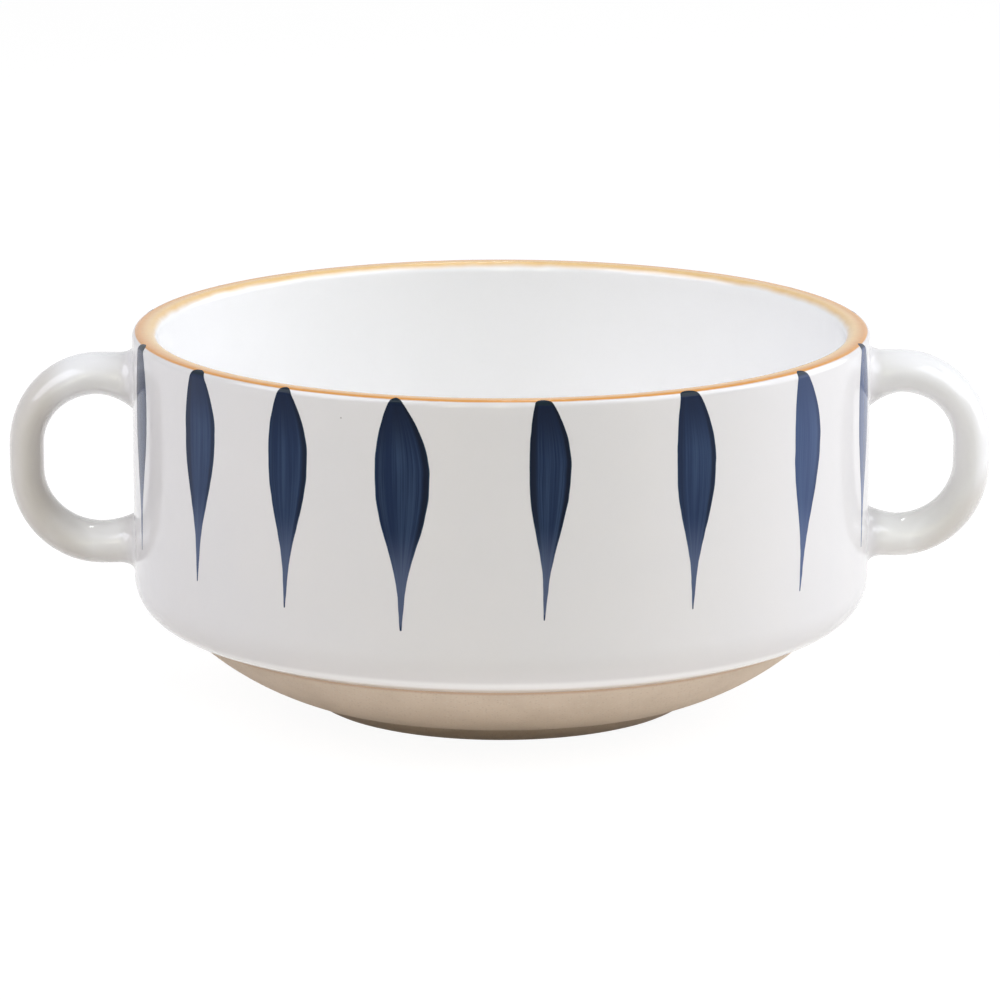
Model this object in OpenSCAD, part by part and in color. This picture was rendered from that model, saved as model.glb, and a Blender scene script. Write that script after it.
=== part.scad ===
// Lug soup bowl: a glazed stoneware bowl with two loop handles, in millimetres.
// Origin at the middle of the foot's underside, +Z up, +X towards the right handle.

/* [Bowl wall] */
// Outer radius of the glazed wall and rim
bowl_r = 65; // [60:0.5:72]
// Height from the table to the top of the rim
bowl_h = 67.2; // [62:0.1:76]
// Thickness of the wall, with its glaze on both faces
wall_t = 4.4; // [4:0.1:5]
// Radius that rounds the outer edge of the rim
rim_outer_round = 1.3; // [1:0.1:1.6]
// Radius that rounds the inner edge of the rim
rim_inner_round = 1.7; // [1.2:0.1:2]

/* [Bowl underside] */
// Height at which the upright wall starts to bend in
bend_z = 23.4; // [22.5:0.1:24.4]
// Outer radius of that bend
bend_r = 7.7; // [7:0.1:8.4]
// Slope of the glazed underside below the bend, in degrees
under_slope = 22.3; // [20:0.5:25]
// How far in from the wall the glaze stops
glaze_line_in = 7.85; // [7:0.05:8.5]
// Radius of the curved bare belly
belly_r = 48.2; // [47:0.1:49.4]
// Slope of the belly just below the glaze, in degrees
belly_slope = 45.6; // [44.5:0.1:46.6]
// Thickness of the belly, with the glaze inside
belly_t = 4.6; // [4.2:0.1:5]
// Radius of the bend between the inner wall and the floor
inner_bend_r = 9; // [8:0.1:10]

/* [Foot] */
// Height of the foot ring below the belly
foot_h = 3; // [2.7:0.1:3.3]
// How far in from the belly's lower edge the bowl's standing ring lies
foot_in = 9.9; // [9:0.1:11]
// Width of that ring
foot_contact_w = 1.6; // [1.2:0.1:2.2]
// Radius that rounds the outside of the foot
foot_round = 6; // [5:0.1:7]
// Radius that rounds the inside of the foot
foot_inner_round = 1; // [0.6:0.1:1.4]
// Depth of the recess inside the foot
recess_h = 1.8; // [1.5:0.1:2.1]
// Slope of the belly where it meets the foot, in degrees
belly_end_slope = 21.3; // [20:0.1:23]

/* [Coats] */
// Thickness of the fired glaze
glaze_t = 0.3; // [0.2:0.02:0.4]
// Depth of the blue pigment in the glaze
pigment_t = 0.14; // [0.08:0.02:0.18]
// Height of the amber band on the outside of the rim
band_outer_h = 0.4; // [0.2:0.1:0.9]
// Height of the amber band on the inside of the rim
band_inner_h = 2.2; // [1.7:0.1:3]

/* [Handles] */
// How far the handles stand out from the wall
handle_out = 22.2; // [20:0.1:26]
// How far the middle of the upper arm lies below the rim
handle_drop = 8; // [7.2:0.1:9.4]
// Distance between the middles of the two arms
handle_span = 30.6; // [29:0.1:31.5]
// Thickness of the handle's oval bar
bar_t = 6.4; // [5.6:0.1:6.8]
// Width of the handle's oval bar, front to back
bar_w = 12; // [10:0.1:13.5]
// Radius of the handle's upper shoulder, to the middle of the bar
shoulder_r = 11.4; // [10.6:0.1:12]
// Radius of the handle's lower bend, to the middle of the bar
elbow_r = 12; // [11:0.1:13]

/* [Luted joints] */
// Radius of the slip fillet where each arm meets the wall
fillet_r = 2.4; // [2:0.1:2.6]
// Part of a quarter turn that the fillet covers before it feathers out, in degrees
fillet_turn = 72; // [66:1:78]

/* [Leaf strokes] */
// Number of brush strokes round the bowl
stroke_count = 16; // [8:2:18]
// How far below the rim's rounding a stroke starts
stroke_clear = 0.1; // [0.05:0.05:0.5]
// Length of a whole stroke below that
stroke_l = 37.7; // [30:0.1:40]
// Widest part of a stroke
stroke_w = 8.2; // [6:0.1:9.5]

/* [Hidden] */
$fn = 96;
arc_steps = 10;

// Names of the parts

// Points along an arc of a radius round a centre, from one angle to another
function arc(centre, radius, from, to) = [
    for (i = [0:arc_steps])
        centre + radius * [cos(from + (to - from) * i / arc_steps),
                           sin(from + (to - from) * i / arc_steps)]
];

// The bend's centre, and the end of the glazed slope
bend_centre = [bowl_r - bend_r, bend_z];
slope_top = bend_centre + bend_r * [sin(under_slope), -cos(under_slope)];
glaze_line_r = bowl_r - glaze_line_in;
glaze_edge = [glaze_line_r, slope_top.y - (slope_top.x - glaze_line_r) * tan(under_slope)];
slope_in = [-sin(under_slope), cos(under_slope)];
belly_top = glaze_edge + glaze_t * slope_in;

// The belly is an arc that the inside follows, one thickness up
belly_centre = belly_top + belly_r * [-sin(belly_slope), cos(belly_slope)];
inner_belly_r = belly_r - belly_t;
inner_bend_x = bowl_r - wall_t - inner_bend_r;
inner_run = inner_belly_r - inner_bend_r;
inner_bend_drop = sqrt(pow(inner_run, 2) - pow(inner_bend_x - belly_centre.x, 2));
inner_bend_centre = [inner_bend_x, belly_centre.y - inner_bend_drop];
inner_slope = asin((inner_bend_x - belly_centre.x) / inner_run);

// The foot stands in from the belly's lower edge, and its rounded outside is as high as it
foot_contact_r = belly_centre.x + belly_r * sin(belly_end_slope) - foot_in;
foot_round_start = -asin(1 - foot_h / foot_round);
foot_inner_r = foot_contact_r - foot_contact_w;

// Rim rounding centres
rim_outer_centre = [bowl_r - rim_outer_round, bowl_h - rim_outer_round];
rim_inner_centre = [bowl_r - wall_t + rim_inner_round, bowl_h - rim_inner_round];
rim_mid_r = bowl_r - wall_t / 2;

// The bare underside, from the middle of the recess out to the glaze line
function bare_line() = concat(
    [[0, recess_h], [foot_inner_r - foot_inner_round, recess_h]],
    arc([foot_inner_r, foot_inner_round], foot_inner_round, 180, 270),
    arc([foot_contact_r, foot_round], foot_round, -90, foot_round_start),
    arc(belly_centre, belly_r, belly_end_slope - 90, belly_slope - 90)
);

// The glazed outside, from the glaze line up to the middle of the rim
function outer_line(inset) = concat(
    [glaze_edge + inset * slope_in],
    arc(bend_centre, bend_r - inset, under_slope - 90, 0),
    arc(rim_outer_centre, rim_outer_round - inset, 0, 90),
    [[rim_mid_r, bowl_h - inset]]
);

// The glazed inside, from the middle of the rim down to the middle of the floor
function inner_line(inset) = concat(
    [[rim_mid_r, bowl_h - inset]],
    arc(rim_inner_centre, rim_inner_round - inset, 90, 180),
    arc(inner_bend_centre, inner_bend_r + inset, 0, inner_slope - 90),
    arc(belly_centre, inner_belly_r + inset, inner_slope - 90, -90),
    [[0, belly_centre.y - inner_belly_r - inset]]
);

function turned(line) = [for (i = [len(line) - 1:-1:0]) line[i]];

module clay_section() {
    polygon(concat(bare_line(), outer_line(glaze_t), inner_line(glaze_t)));
}

module outer_coat() polygon(concat(outer_line(0), turned(outer_line(glaze_t))));

module inner_coat() polygon(concat(inner_line(0), turned(inner_line(glaze_t))));

// What lies between two heights
module layer(z_from, z_to) {
    intersection() {
        children();
        translate([0, z_from]) square([bowl_r, z_to - z_from]);
    }
}

// Handle route in the XZ plane: arm, shoulder quarter, upright, elbow quarter and arm
handle_top_z = bowl_h - handle_drop;
handle_bottom_z = handle_top_z - handle_span;
bar_x = bowl_r + handle_out - bar_t / 2;
shoulder_centre = [bar_x - shoulder_r, handle_top_z - shoulder_r];
elbow_centre = [bar_x - elbow_r, handle_bottom_z + elbow_r];
upright_l = shoulder_centre.y - elbow_centre.y;

// The arms run into the wall and are cut off at the clay
clay_r = bowl_r - glaze_t;
arm_start_x = bowl_r - wall_t;

// Oval outline of the bar, or of a fillet that spreads round it: thickness, then width
bar_points = 28;
function oval(spread) = [
    for (i = [0:bar_points - 1])
        let (turn = 360 * (i + 1 / 2) / bar_points)
            [(bar_t / 2 + spread) * cos(turn), (bar_w / 2 + spread) * sin(turn)]
];

// A quarter ring of the bar in the XZ plane, from one angle on
module bar_quarter(centre, radius, from) {
    translate([centre.x, 0, centre.y]) rotate([90, 0, 0]) rotate([0, 0, from])
        rotate_extrude(angle = 90) translate([radius, 0]) polygon(oval(0));
}

// A straight oval bar along X at a height
module arm(z, x_end, spread) {
    translate([arm_start_x, 0, z]) rotate([0, 90, 0])
        linear_extrude(x_end - arm_start_x) polygon(oval(spread));
}

module handle_bar() {
    arm(handle_top_z, shoulder_centre.x, 0);
    bar_quarter(shoulder_centre, shoulder_r, 0);
    translate([bar_x, 0, elbow_centre.y]) linear_extrude(upright_l) polygon(oval(0));
    bar_quarter(elbow_centre, elbow_r, -90);
    arm(handle_bottom_z, elbow_centre.x, 0);
}

// The upright clay wall that the handles are luted to
module clay_wall() {
    translate([0, 0, slope_top.y]) cylinder(r = clay_r, h = bowl_h - slope_top.y);
}

module handle() {
    difference() {
        handle_bar();
        clay_wall();
    }
}

// The slip fillet is a sleeve of rings round the arm. Its hollow curve starts level with
// the glaze, spread out on the wall, and thins out along the bar.
fillet_steps = 7;
function sleeve_ring(z, wall_r, spread, rise) = [
    for (p = oval(spread)) [sqrt(pow(wall_r, 2) - pow(p.y, 2)) + rise, p.y, z - p.x]
];
function sleeve_rings(z) = concat(
    [sleeve_ring(z, clay_r, 0, 0), sleeve_ring(z, clay_r, fillet_r, 0)],
    [for (i = [0:fillet_steps])
        let (turn = fillet_turn * i / fillet_steps)
            sleeve_ring(z, bowl_r, fillet_r * (1 - sin(turn)), fillet_r * (1 - cos(turn)))],
    [sleeve_ring(z, bowl_r, 0, fillet_r * (1 - cos(fillet_turn)))]
);

// Each ring is joined to the next, and the last to the first
module slip_sleeve(z) {
    rings = sleeve_rings(z);
    polyhedron([for (r = rings) each r], [
        for (k = [0:len(rings) - 1], i = [0:bar_points - 1])
            let (j = (i + 1) % bar_points, next = (k + 1) % len(rings),
                 a = k * bar_points + i, b = k * bar_points + j,
                 c = next * bar_points + j, d = next * bar_points + i)
                each [[a, b, c], [a, c, d]]
    ]);
}

module handle_slip() {
    slip_sleeve(handle_top_z);
    slip_sleeve(handle_bottom_z);
}

// The openings in the outer glaze where the arms and their fillets reach the clay
module root_openings() {
    arm(handle_top_z, bowl_r + fillet_r, fillet_r);
    arm(handle_bottom_z, bowl_r + fillet_r, fillet_r);
}

module mirrored() mirror([1, 0, 0]) children();

// Leaf outline: how far down the stroke, then how far it spreads left and right
leaf_shares = [
    [0, 0.24, 0.16], [0.08, 0.34, 0.33], [0.18, 0.43, 0.47], [0.3, 0.49, 0.51],
    [0.42, 0.47, 0.49], [0.54, 0.38, 0.4], [0.64, 0.25, 0.28], [0.72, 0.14, 0.17],
    [0.82, 0.07, 0.08], [0.93, 0.03, 0.04], [1, 0.01, 0.02]
];

// Hand-painted differences, one for each stroke anticlockwise from the right handle
lean_shares = [
    0.1, 0.08, 0.02, -0.06, 0.12, 0.05, -0.1, -0.1, 0.18, 0.14, -0.02, -0.16, -0.18, -0.13, -0.1, -0.08
];
length_shares = [
    0.96, 0.97, 1.02, 0.98, 0.95, 1.01, 0.96, 0.94, 0.94, 0.95, 0.98, 1.03, 0.97, 0.97, 0.99, 0.93
];
width_shares = [0.98, 1, 0.94, 1.02, 1, 0.9, 1.03, 0.97, 0.95, 1, 0.98, 1.17, 0.84, 0.94, 0.94, 1];

// The strokes start just under the place where the upright wall rounds over into the rim
stroke_top_z = bowl_h - rim_outer_round - stroke_clear;
stroke_step = 360 / stroke_count;
stroke_reach = bowl_r + bar_t;

function leaf_outline(length, width) = concat(
    [for (p = leaf_shares) [-p[1] * width, -p[0] * length]],
    [for (i = [len(leaf_shares) - 1:-1:0])
        [leaf_shares[i][2] * width, -leaf_shares[i][0] * length]]
);

// A prism of one stroke's outline, pointing outwards at the wall
module leaf_prism(i) {
    pick = i % len(length_shares);
    rotate([0, 0, stroke_step * (i + 1 / 2 + lean_shares[pick])]) translate([0, 0, stroke_top_z])
        rotate([90, 0, 90]) linear_extrude(stroke_reach)
            polygon(leaf_outline(stroke_l * length_shares[pick], stroke_w * width_shares[pick]));
}

// The strokes as a thin layer in the wall's face, or as a cutter that stands out from it
module stroke_layer(out = 0) {
    intersection() {
        rotate_extrude() translate([bowl_r - pigment_t, bend_z])
            square([pigment_t + out, stroke_top_z - bend_z]);
        for (i = [0:stroke_count - 1]) leaf_prism(i);
    }
}

module bowl_body() color([0.76, 0.69, 0.61]) rotate_extrude() clay_section();

module right_handle() color([0.9, 0.89, 0.87]) handle();

module left_handle() color([0.9, 0.89, 0.87]) mirrored() handle();

module right_handle_slip() color([0.87, 0.86, 0.84]) handle_slip();

module left_handle_slip() color([0.87, 0.86, 0.84]) mirrored() handle_slip();

// The glaze goes round the handles' roots, and the pigment lies sunk in its face
module outer_glaze() {
    color([0.93, 0.92, 0.9]) difference() {
        rotate_extrude() layer(0, bowl_h - band_outer_h) outer_coat();
        stroke_layer(pigment_t);
        root_openings();
        mirrored() root_openings();
    }
}

module inner_glaze() {
    color([0.96, 0.96, 0.95])
        rotate_extrude() layer(0, bowl_h - band_inner_h) inner_coat();
}

module rim_band() {
    color([0.9, 0.66, 0.38]) rotate_extrude() {
        layer(bowl_h - band_outer_h, bowl_h) outer_coat();
        layer(bowl_h - band_inner_h, bowl_h) inner_coat();
    }
}

module leaf_strokes() color([0.16, 0.21, 0.37]) stroke_layer();

bowl_body();
left_handle();
right_handle();
left_handle_slip();
right_handle_slip();
outer_glaze();
inner_glaze();
rim_band();
leaf_strokes();
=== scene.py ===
"""Lug soup bowl: glazed stoneware with two loop handles, an amber rim and brushed leaf strokes.

Everything is in metres, in the frame of the packed model: Z up, the foot on Z = 0, +X towards
the right handle. Each operator makes one piece, or one group of like pieces.
"""
import math

import bmesh
import bpy
from mathutils import Matrix, Vector, noise


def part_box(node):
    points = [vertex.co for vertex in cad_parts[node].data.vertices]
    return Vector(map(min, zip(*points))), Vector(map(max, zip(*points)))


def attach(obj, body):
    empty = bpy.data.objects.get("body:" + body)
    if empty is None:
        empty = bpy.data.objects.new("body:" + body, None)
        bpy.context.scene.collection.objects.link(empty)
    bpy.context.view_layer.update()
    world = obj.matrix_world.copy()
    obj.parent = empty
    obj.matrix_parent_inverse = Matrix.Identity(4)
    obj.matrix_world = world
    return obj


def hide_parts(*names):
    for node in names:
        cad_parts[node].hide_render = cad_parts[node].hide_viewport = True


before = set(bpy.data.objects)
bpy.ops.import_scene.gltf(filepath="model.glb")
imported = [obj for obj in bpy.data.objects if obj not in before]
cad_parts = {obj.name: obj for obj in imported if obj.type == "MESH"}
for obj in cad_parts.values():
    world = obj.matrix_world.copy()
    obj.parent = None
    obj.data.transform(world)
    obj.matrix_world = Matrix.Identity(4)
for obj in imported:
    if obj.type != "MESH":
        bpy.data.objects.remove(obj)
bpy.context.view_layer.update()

bl_info = {
    "name": "Lug soup bowl",
    "version": (1, 0, 0),
    "blender": (4, 5, 0),
    "location": "3D View > Sidebar > Soup bowl",
    "description": "Throws, glazes, bands and brushes a two-handled soup bowl piece by piece",
    "category": "Add Mesh",
}

BODY = "root"
TURNS = 224                               # steps round the bowl
CREASE = math.radians(48)                 # edges sharper than this stay crisp
SAME_POINT = 1e-7                         # points closer than this are merged
IRON_SPECK = (-0.0269, -0.0592, 0.0632)   # a dark speck in the glaze, in front below the rim


# --- sizes that the packed model gives -------------------------------------------------------

GLAZE_LOW, GLAZE_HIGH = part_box("outer_glaze")
LINING_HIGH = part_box("inner_glaze")[1]
RIM_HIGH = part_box("rim_band")[1]
LUG_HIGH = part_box("right_handle")[1]
REACH_SLACK = 0.0003   # the pulled handles reach this much less far than the packed ones


def length(label, note, default, **more):
    """A size in metres, for a PropertyGroup."""
    return bpy.props.FloatProperty(
        name=label, description=note, default=default, unit="LENGTH", precision=5, **more)


def turn(label, note, degrees):
    """An angle, for a PropertyGroup."""
    return bpy.props.FloatProperty(
        name=label, description=note, default=math.radians(degrees), unit="ROTATION")


def paint(label, note, *default):
    """A colour as its linear red, green and blue."""
    return bpy.props.FloatVectorProperty(
        name=label, description=note, default=default, size=3, subtype="COLOR", min=0, max=1)


def share(label, note, default, **more):
    """A plain number, for a PropertyGroup."""
    return bpy.props.FloatProperty(
        name=label, description=note, default=default, precision=4, **more)


class BowlSizes(bpy.types.PropertyGroup):
    """The thrown wall, its coats and the foot."""

    radius: length("Wall radius", "Outer radius of the glazed wall", GLAZE_HIGH.y)
    height: length("Height", "From the table to the top of the rim", RIM_HIGH.z)
    wall: length("Wall thickness", "Clay and both coats together", 0.0044)
    outer_round: length("Rim, outer rounding", "Radius of the rim's outer edge", 0.0013)
    inner_round: length("Rim, inner rounding", "Radius of the rim's inner edge", 0.0017)
    bend_height: length("Bend height", "Where the upright wall starts to bend in", 0.0234)
    bend_radius: length("Bend radius", "Outer radius of that bend", 0.0077)
    under_slope: turn("Slope below the bend", "Slope of the glazed underside", 22.3)
    belly_radius: length("Belly radius", "Radius of the bare belly's curve", 0.0482)
    belly_slope: turn("Belly slope", "Slope of the belly just below the glaze", 45.6)
    belly_wall: length("Belly thickness", "Thickness of the belly with its lining", 0.0046)
    belly_end: turn("Belly end slope", "Slope of the belly where it meets the foot", 21.3)
    lining_bend: length("Inner bend", "Radius between the inner wall and the floor", 0.009)
    glaze_line: length("Glaze line radius", "Radius at which the outer glaze stops", 0.05715)
    foot_height: length("Foot height", "Height of the foot ring below the belly", 0.003)
    foot_inset: length("Foot inset", "From the belly's lower edge to the standing ring", 0.0099)
    foot_contact: length("Standing ring", "Width of the ring that touches the table", 0.0016)
    foot_round: length("Foot rounding", "Radius of the outside of the foot", 0.006)
    foot_inner_round: length("Foot inner rounding", "Radius inside the foot ring", 0.001)
    recess: length("Foot recess", "Depth of the recess inside the foot", 0.0018)
    coat: length("Glaze thickness", "Thickness of the fired glaze", 0.0003)
    coat_wander: length("Glaze line wander", "How far the dipped edge wanders", 0.00012)
    band_outside: length("Band, outside", "Height of the amber band outside",
                         RIM_HIGH.z - GLAZE_HIGH.z)
    band_inside: length("Band, inside", "Height of the amber band inside",
                        RIM_HIGH.z - LINING_HIGH.z)


class HandleSizes(bpy.types.PropertyGroup):
    """The two loop handles, pulled by hand and not quite alike."""

    reach: length("Reach", "From the bowl's axis to the outside of the left handle",
                  LUG_HIGH.x - REACH_SLACK)
    short: length("Shorter reach", "How much less far the right handle reaches", 0.00055)
    upper_arm: length("Upper arm height", "Middle of the right handle's upper arm", 0.0593)
    drop: length("Uneven upper arm", "How much lower the left handle's upper arm is", 0.0005)
    lower_arm: length("Lower arm height", "Middle of the left handle's lower arm", 0.02835)
    shoulder: length("Shoulder radius", "Bend at the top, to the middle of the bar", 0.0127)
    elbow: length("Elbow radius", "Bend at the bottom, to the middle of the bar", 0.0132)
    lift: length("Uneven lower arm", "How much higher the right handle's lower arm is", 0.0013)
    arm_thick: length("Arm thickness", "Thickness of the arms", 0.0072)
    grip_thick: length("Grip thickness", "Thickness of the upright bar", 0.0062)
    breadth: length("Breadth", "Width of the bar, front to back", 0.012)
    grip_uneven: length("Uneven grip", "How much thicker the right grip is", 0.0004)
    flare: length("Root flare", "How far the luted root spreads on the wall", 0.0024)
    outer_flare: length("Outer flare", "The same above the upper and below the lower arm", 0.0012)
    inner_flare: length("Inner flare", "The long flare inside the upper arm", 0.0026)
    inner_reach: length("Inner flare, reach", "How far that flare reaches from the wall", 0.0065)


class LeafSizes(bpy.types.PropertyGroup):
    """The brushed leaf strokes."""

    count: bpy.props.IntProperty(name="Strokes", description="Number round the bowl", default=16)
    length: length("Stroke length", "Length of a whole stroke below the band", 0.0375)
    width: length("Stroke width", "Widest part of a stroke", 0.0082)
    overlap: length("Overlap", "How far a stroke's head runs over the rim's rounding", 0.0017)
    proud: length("Raise", "How far the fired pigment stands on the glaze", 0.00002)
    depth: length("Pigment depth", "How deep the pigment reaches", 0.00014)


class GlazeColours(bpy.types.PropertyGroup):
    """Colours and gloss of the coats, the bare clay and the pigment."""

    white: paint("White glaze", "Milk-white glaze outside", 0.805, 0.783, 0.777)
    cool: paint("Cool glaze", "The same glaze where it lies thicker", 0.792, 0.774, 0.773)
    # Painted light: the handles get the same glaze painted lighter, for the light they catch.
    lug: paint("Handle glaze", "The same glaze on the handles", 0.885, 0.875, 0.865)
    # Painted shade: darker handle glaze on the left grip and under the lower arms.
    lug_painted_shade: paint("Thin handle glaze", "Where it ran thin, on the left grip and the undersides",
                    0.7, 0.662, 0.615)
    # Painted light: lighter handle glaze on top of the lower arms.
    lug_painted_light: paint("Pooled handle glaze", "Where it lies thick, on top of the lower arms",
                      0.985, 0.98, 0.975)
    # Painted light: the lining is the white glaze made lighter, for the brighter inside.
    lining: paint("Lining glaze", "Whiter glaze inside", 0.975, 0.967, 0.96)
    amber: paint("Amber", "Band at the rim's outer edge", 0.69, 0.265, 0.012)
    # Paler amber over the rim's top: partly a thinner band, partly painted reflection.
    amber_thin_and_reflection: paint("Thin amber", "Band where it thins towards the inside", 0.87, 0.59, 0.25)
    pits: paint("Glaze in its pits", "Where the glaze dips between the grains", 0.62, 0.6, 0.56)
    # Darker lower glaze edge: partly thin glaze over the clay, partly painted shade.
    thin_edge_and_shade: paint("Thin glaze edge", "Where the glaze thins over the clay at its lower edge",
                     0.6, 0.53, 0.46)
    clay: paint("Bare clay", "Fired stoneware", 0.735, 0.6, 0.475)
    # Dark clay: the brown grog and patches, and also the colour of the painted shade on the foot.
    dark_clay_and_shade: paint("Dark grog", "Brown grains in the stoneware", 0.26, 0.17, 0.11)
    clay_pale: paint("Pale grog", "Cream grains in the stoneware", 0.76, 0.67, 0.56)
    flash: paint("Flashing", "Thin warm line beside the glaze", 0.5, 0.26, 0.13)
    navy: paint("Navy", "Body of a stroke", 0.008, 0.022, 0.066)
    navy_pool: paint("Pooled navy", "Where pigment gathered at the edge", 0.002, 0.006, 0.02)
    navy_thin: paint("Thin navy", "Where the brush dragged it thin", 0.03, 0.057, 0.118)
    navy_tail: paint("Navy tail", "Where a stroke runs out to its tip", 0.13, 0.16, 0.26)
    navy_fringe: paint("Navy fringe", "Thin bluish line along a stroke's sides", 0.1, 0.2, 0.3)
    # Paler blue: thinner pigment, and painted reflection on the strokes near the sides.
    navy_wash_and_reflection: paint("Navy wash", "Paler blue of the thinly laid strokes", 0.15, 0.22, 0.45)
    navy_over_amber: paint("Navy over amber", "Where a stroke crosses the band",
                           0.004, 0.016, 0.022)
    pinhole: paint("Pinhole", "Pale holes in the pigment", 0.6, 0.62, 0.6)
    iron: paint("Iron speck", "Small dark specks in the glaze", 0.12, 0.085, 0.06)
    gloss: share("Glaze roughness", "Lower is glossier", 0.085, min=0, max=1)
    clay_dull: share("Clay roughness", "Roughness of the bare clay", 0.78, min=0, max=1)


class StageSettings(bpy.types.PropertyGroup):
    """Floor, lamps and camera."""

    distance: length("Camera distance", "From the camera to the point it looks at", 1.2)
    raised: turn("Camera elevation", "Height of the camera above the horizon", 12.9)
    aim: length("Aim height", "Height of the point the camera looks at", 0.030)
    lens: share("Lens", "Focal length in millimetres on a 36 mm frame", 243.6)
    shift_x: share("Shift across", "Camera shift, as a share of the frame", -0.0012)
    shift_y: share("Shift up", "Camera shift, as a share of the frame", 0.0321)
    overhead: share("Overhead lamp", "Power of the soft overhead lamp in watts", 0.6, min=0)
    key: share("Right box", "Power of the big soft box at the right in watts", 5.75, min=0)
    right_high: share("High right lamp", "Power of the lamp high at the right in watts", 8.1, min=0)
    left_high: share("High left lamp", "Power of the lamp high at the left in watts", 8.6, min=0)
    front_high: share("High front lamp", "Power of the warm lamp high in front in watts",
                      0.9, min=0)
    strip: share("Strip lamps", "Power of each tall narrow lamp in front in watts", 0.85, min=0)
    glint: share("Small lamp", "Power of the small bright lamp behind in watts", 0.28, min=0)


# --- shader sums -----------------------------------------------------------------------------


class Shade:
    """A value that varies over a surface. Sums on it add the Math nodes they need."""

    def __init__(self, wiring, socket):
        self.wiring, self.socket = wiring, socket

    def _math(self, operation, first, second=0.0):
        return self.wiring.node("ShaderNodeMath", {"operation": operation}, first, second)

    def __add__(self, other):
        return self._math("ADD", self, other)

    def __sub__(self, other):
        return self._math("SUBTRACT", self, other)

    def __rsub__(self, other):
        return self._math("SUBTRACT", other, self)

    def __mul__(self, other):
        return self._math("MULTIPLY", self, other)

    __radd__, __rmul__ = __add__, __mul__

    def __pow__(self, other):
        return self._math("POWER", self, other)

    def __abs__(self):
        return self._math("ABSOLUTE", self)

    def most(self, other):
        """The larger of two values."""
        return self._math("MAXIMUM", self, other)

    def least(self, other):
        """The smaller of two values."""
        return self._math("MINIMUM", self, other)

    def rise(self, start, end):
        """Goes smoothly from 0 at start to 1 at end."""
        if start > end:
            return 1.0 - self.rise(end, start)
        return self.wiring.node(
            "ShaderNodeMapRange", {"interpolation_type": "SMOOTHSTEP"}, self, start, end, 0.0, 1.0)


class Wiring:
    """The node tree of a material or of the world, built up node by node."""

    def __init__(self, owner):
        owner.use_nodes = True
        self.tree = owner.node_tree

    def found(self, kind):
        """The node of a kind that the tree starts with."""
        return next(n for n in self.tree.nodes if n.type == kind)

    def node(self, kind, settings=None, *values, out=0, **named):
        """Adds a node: its settings first, then the values or links of its sockets."""
        made = self.tree.nodes.new(kind)
        for key, value in (settings or {}).items():
            setattr(made, key, value)
        for key, value in list(enumerate(values)) + list(named.items()):
            socket = made.inputs[key.replace("_", " ") if isinstance(key, str) else key]
            self.feed(socket, value)
        return Shade(self, made.outputs[out])

    def feed(self, socket, value):
        """Links a Shade to a socket, or writes a plain value on it."""
        if isinstance(value, Shade):
            self.tree.links.new(value.socket, socket)
        elif value is not None:
            socket.default_value = (*value, 1.0) if socket.type == "RGBA" else value

    def split(self, vector):
        """The three values that a vector holds."""
        made = self.node("ShaderNodeSeparateXYZ", None, vector).socket.node
        return (Shade(self, made.outputs[i]) for i in range(3))


class Finish(Wiring):
    """One fired surface, built up as nodes on a Principled shader."""

    def __init__(self, name):
        self.material = bpy.data.materials.new(name)
        super().__init__(self.material)
        self.shader = self.found("BSDF_PRINCIPLED")
        self.place = self.node("ShaderNodeTexCoord", out="Object")
        self.x, self.y, self.z = self.split(self.place)
        self.radius = (self.x * self.x + self.y * self.y) ** 0.5

    def blend(self, factor, first, second):
        """Mixes two colours by a factor."""
        made = self.tree.nodes.new("ShaderNodeMix")
        made.data_type = "RGBA"
        for index, value in ((0, factor), (6, first), (7, second)):
            self.feed(made.inputs[index], value)
        return Shade(self, made.outputs[2])

    def cloud(self, size, detail=2.0, rough=0.5, place=None):
        """Soft noise with features of a size in metres, from 0 to 1."""
        return self.node("ShaderNodeTexNoise", None, place or self.place,
                         Scale=1.0 / size, Detail=detail, Roughness=rough)

    def grains(self, size, output="Distance"):
        """Cells of a size in metres: the distance to each middle, or its own random colour."""
        return self.node("ShaderNodeTexVoronoi", None, self.place, Scale=1.0 / size, out=output)

    def pick(self, colour):
        """One number from a random colour."""
        return self.node("ShaderNodeSeparateColor", None, colour)

    def away(self, point):
        """The distance from a point."""
        return self.node("ShaderNodeVectorMath", {"operation": "DISTANCE"}, self.place, point,
                         out="Value")

    def stretched(self, x, y, z):
        """Joins three values as a place for a pattern."""
        return self.node("ShaderNodeCombineXYZ", None, x, y, z)

    def bump(self, height, depth, strength=1.0):
        """Tilts the surface by a height pattern whose full depth is in metres."""
        return self.node("ShaderNodeBump", None, Strength=strength, Distance=depth, Height=height)

    def fire(self, colour, roughness, normal=None, **fixed):
        """Connects the surface, and writes the values that are the same all over."""
        self.feed(self.shader.inputs["Base Color"], colour)
        self.feed(self.shader.inputs["Roughness"], roughness)
        self.feed(self.shader.inputs["Normal"], normal)
        for key, value in fixed.items():
            self.shader.inputs[key.replace("_", " ")].default_value = value
        return self.material


# Sizes of the patterns in the glaze and the clay, and how deep their relief is
DRIFT, CLOUDING, TOOTH, SHEEN = 0.021, 0.0034, 0.00055, 0.006
RIPPLE, FINE_RIPPLE, RIPPLE_DEPTH = 0.0042, 0.0009, 0.00005
SPECK_CELL, PINHOLE_CELL = 0.0125, 0.0042
BAND_WOBBLE, BAND_STREAK = 0.007, 0.0016
CLAY_FINE, CLAY_PATCH, CLAY_PIT = 0.00045, 0.009, 0.0007
CLAY_RING, CLAY_RELIEF = 0.0011, 0.00012

# Grog in the clay: size of a grain, how rare it is, its colour, and how strongly it shows
GROG = ((0.0005, 0.7, "dark_clay_and_shade", 0.16), (0.0007, 0.66, "clay_pale", 0.4))

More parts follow.
